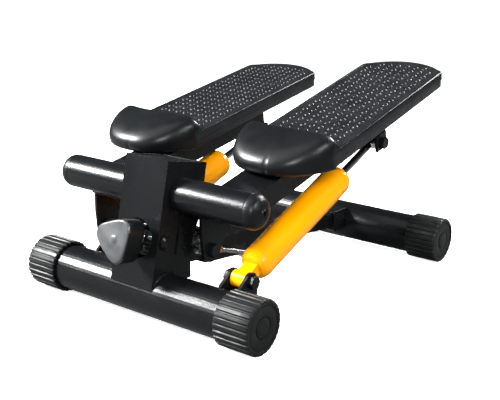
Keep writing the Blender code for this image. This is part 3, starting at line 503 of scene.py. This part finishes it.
def knob():
    """Three-lobed hand knob: a dished grey face with a small nub, and black sides and back."""
    rows = [(KNOB_BACK, 0.10), (KNOB_BACK, 0.55), (KNOB_BACK, 0.90), (KNOB_BACK + 1.0, 0.955),
            (KNOB_BACK + 3.0, 0.968), (KNOB_FACE - 4.0, 0.99), (KNOB_FACE - 2.2, 0.985),
            (KNOB_FACE - 0.9, 0.955),
            (KNOB_FACE - 0.2, 0.91), (KNOB_FACE - 0.05, 0.86), (KNOB_FACE - 0.5, 0.70),
            (KNOB_FACE - 1.0, 0.48), (KNOB_FACE - 1.2, 0.28), (KNOB_FACE - 1.1, 0.19),
            (KNOB_FACE - 0.5, 0.145), (KNOB_FACE - 0.2, 0.09), (KNOB_FACE - 0.15, 0.02)]
    loops = []
    for along, share in rows:
        loop = []
        for k in range(KNOB_STEPS):
            t = 2.0 * math.pi * k / KNOB_STEPS
            lobes = KNOB_LOBE * math.cos(3.0 * (t - KNOB_TURN)) + 0.35 * math.cos(6.0 * (t - KNOB_TURN))
            r = share * (KNOB_MEAN_R + lobes * min(1.0, share * 1.4))
            loop.append((r * math.cos(t), -along, r * math.sin(t)))
        loops.append(loop)
    obj = piece("three_lobe_knob", stitched(loops), FINISH["knob"], "knob", ("height_knob",),
                KNOB_PLACE, sharp=50.0)
    obj.data.materials.append(FINISH["plastic"])
    forward = KNOB_PLACE.to_3x3() @ Vector((0.0, -1.0, 0.0))
    for face in obj.data.polygons:
        if face.normal.dot(forward) < GREY_FACE:
            face.material_index = 1


WIRE_SIDES, HELIX_STEPS = 8, 22


def helix(name, start, end, radius, wire, turns, finish, body, stands_for, matrix):
    """Round wire wound about local Y, in millimetres."""
    steps = int(turns * HELIX_STEPS)
    loops = []
    for k in range(steps + 1):
        t = 2.0 * math.pi * turns * k / steps
        along = start + (end - start) * k / steps
        loop = []
        for m in range(WIRE_SIDES):
            p = 2.0 * math.pi * m / WIRE_SIDES
            r = radius + wire * math.cos(p)
            loop.append((r * math.cos(t), along + wire * math.sin(p), r * math.sin(t)))
        loops.append(loop)
    piece(name, stitched(loops), finish, body, stands_for, matrix)


# ---------------------------------------------------------------- welds
ROUND_STEP, STRAIGHT_STEP = 2.2, 1.6


def bead(name, body, route, radius, matrix=None):
    """Rippled weld bead along a route of points in millimetres."""
    bm = bmesh.new()
    rings = []
    for k, point in enumerate(route):
        here = Vector(point)
        ahead = Vector(route[min(k + 1, len(route) - 1)]) - Vector(route[max(k - 1, 0)])
        ahead.normalize()
        side = ahead.orthogonal().normalized()
        other = ahead.cross(side)
        size = radius * (1.0 + 0.16 * math.sin(2.4 * k) + 0.08 * math.sin(5.1 * k))
        ring = []
        for m in range(WIRE_SIDES):
            p = 2.0 * math.pi * m / WIRE_SIDES
            ring.append(bm.verts.new(here + size * (side * math.cos(p) + other * math.sin(p))))
        rings.append(ring)
    bridge(bm, rings)
    bm.faces.new(rings[0])
    bm.faces.new(rings[-1])
    piece(name, bm, WELD, body, (), matrix)


def circle_route(x, centre_y, centre_z, radius, start, end):
    count = max(8, int(math.radians(end - start) * radius / ROUND_STEP))
    return [(x, a, b) for a, b in arc(centre_y, centre_z, radius, start, end, count)]


def straight_route(first, last):
    a, b = Vector(first), Vector(last)
    count = max(4, int((b - a).length / STRAIGHT_STEP))
    return [tuple(a.lerp(b, k / count)) for k in range(count + 1)]


# ---------------------------------------------------------------- build
for side_name in SIDES:
    tread(side_name)
    toe_cap(side_name)
for node in list(frame["nodes"]):
    if node.startswith("end_cap_"):
        end_cap(node)
knob()
helix("adjuster_spring", -KNOB_BACK + 1.6, 1.8, 9.8, 1.1, 4.5, FINISH["chrome"], "knob",
      ("knob_spring",), KNOB_PLACE)
helix("screw_thread", -KNOB_BACK + 0.6, 111.0, 3.8, 0.38, 75.0, FINISH["zinc"], "knob", (),
      KNOB_PLACE)

EASED = {"post": 1.6, "main_beam": 1.6, "saddle_bracket": 1.0, "post_cap": 0.5, "pulley_carriage": 0.6,
         "screw_trunnion": 0.3, "pulley_bolt": 0.5}
EASED_PAIRS = {"pedal_arm": 2.2, "cable_lug": 0.7, "upper_bracket": 0.7, "lower_yoke": 0.8, "upper_pin": 0.5,
               "lower_pin": 0.5, "lug_bolt": 0.6, "lug_nut": 0.5, "pivot_sleeve": 0.5, "damper_gland": 0.6,
               "cable_ferrule": 0.5}
for side_name in SIDES:
    EASED.update({stem + "_" + side_name: width for stem, width in EASED_PAIRS.items()})
for node, width in EASED.items():
    eased(node, width)

tube_low, tube_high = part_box("front_tube")
base_y = (tube_low.y + tube_high.y) / 2.0 / MM
base_z = (tube_low.z + tube_high.z) / 2.0 / MM
weld_r = (tube_high.z - tube_low.z) / 2.0 / MM + 0.4
POST_HALF, SEAT_BACK, SEAT_FRONT = 30.0, 32.0, 140.0
for sign in (-1.0, 1.0):
    bead("post_weld_%s" % ("right" if sign > 0.0 else "left"), "base",
         circle_route(sign * POST_HALF, base_y, base_z, weld_r, SEAT_BACK, SEAT_FRONT), 1.7)
front_seat = math.radians(SEAT_FRONT)
seat = (base_y + weld_r * math.cos(front_seat), base_z + weld_r * math.sin(front_seat))
bead("post_front_weld", "base", straight_route((-POST_HALF, *seat), (POST_HALF, *seat)), 1.9)
for side_name, sign in SIDES.items():
    body_name = "pedal_" + side_name
    for along in (59.0, 109.0):
        bead("arm_weld_%s_%d" % (side_name, along), body_name,
             circle_route(sign * along, 0.0, 0.0, 19.2, -78.0, -4.0), 1.3, PEDAL[side_name])

# ---------------------------------------------------------------- floor, light, camera
FLOOR_SIZE = 80.0
bm = bmesh.new()
bmesh.ops.create_grid(bm, x_segments=2, y_segments=2, size=FLOOR_SIZE / 2.0)
floor_mesh = bpy.data.meshes.new("floor")
bm.to_mesh(floor_mesh)
bm.free()
floor_mesh.materials.append(studio_floor())
floor = bpy.data.objects.new("floor", floor_mesh)
bpy.context.scene.collection.objects.link(floor)

world = bpy.data.worlds.new("studio")
world.use_nodes = True
world_nodes, world_links = world.node_tree.nodes, world.node_tree.links
room = world_nodes["Background"]
room.inputs["Strength"].default_value = 0.05
sweep = world_nodes.new("ShaderNodeBackground")
sweep.inputs["Strength"].default_value = 1.0
for shade in (room, sweep):
    shade.inputs["Color"].default_value = (1.0, 1.0, 1.0, 1.0)
seen = world_nodes.new("ShaderNodeLightPath")
blend_room = world_nodes.new("ShaderNodeMixShader")
world_links.new(seen.outputs["Is Camera Ray"], blend_room.inputs["Fac"])
world_links.new(room.outputs["Background"], blend_room.inputs[1])
world_links.new(sweep.outputs["Background"], blend_room.inputs[2])
world_links.new(blend_room.outputs["Shader"], world_nodes["World Output"].inputs["Surface"])
bpy.context.scene.world = world
bpy.context.scene.view_settings.view_transform = "Standard"

sun_data = bpy.data.lights.new("overhead_bank", "SUN")
sun_data.energy = 1.2
sun_data.angle = math.radians(50.0)
sun = bpy.data.objects.new("overhead_bank", sun_data)
sun.rotation_euler = (math.radians(24.0), math.radians(-14.0), 0.0)
bpy.context.scene.collection.objects.link(sun)
LAMP_AIM = Vector((0.0, 0.0, 0.12))


def softbox(name, azimuth, elevation, distance, size, power):
    """Area light on a dome round the object, aimed at its middle."""
    a, e = math.radians(azimuth), math.radians(elevation)
    back = Vector((math.sin(a) * math.cos(e), -math.cos(a) * math.cos(e), math.sin(e)))
    data = bpy.data.lights.new(name, "AREA")
    data.shape = "RECTANGLE"
    data.size, data.size_y = size
    data.energy = power
    lamp = bpy.data.objects.new(name, data)
    lamp.location = LAMP_AIM + back * distance
    lamp.rotation_euler = (-back).to_track_quat("-Z", "Y").to_euler()
    bpy.context.scene.collection.objects.link(lamp)


softbox("key_softbox", -50.0, 29.0, 2.0, (0.5, 0.45), 200.0)
softbox("front_fill", 34.0, 22.0, 2.4, (0.6, 0.5), 40.0)
softbox("right_fill", 84.0, 30.0, 2.2, (0.5, 0.5), 34.0)
softbox("rim_strip", 166.0, 36.0, 1.8, (0.7, 0.45), 60.0)

CAMERA_AT = Vector((0.6325, -0.873132, 0.3728))
CAMERA_AIM = Vector((-0.0283, 0.030668, 0.0857))
CAMERA_ROLL = math.radians(2.4)
back = (CAMERA_AT - CAMERA_AIM).normalized()
right = Vector((0.0, 0.0, 1.0)).cross(back).normalized()
up = back.cross(right)
rolled_right = math.cos(CAMERA_ROLL) * right + math.sin(CAMERA_ROLL) * up
rolled_up = math.cos(CAMERA_ROLL) * up - math.sin(CAMERA_ROLL) * right
camera_data = bpy.data.cameras.new("camera")
camera_data.sensor_width = 36.0
camera_data.lens = 64.3
camera = bpy.data.objects.new("camera", camera_data)
turned = Matrix((rolled_right, rolled_up, back)).transposed().to_4x4()
camera.matrix_world = Matrix.Translation(CAMERA_AT) @ turned
bpy.context.scene.collection.objects.link(camera)
bpy.context.scene.camera = camera
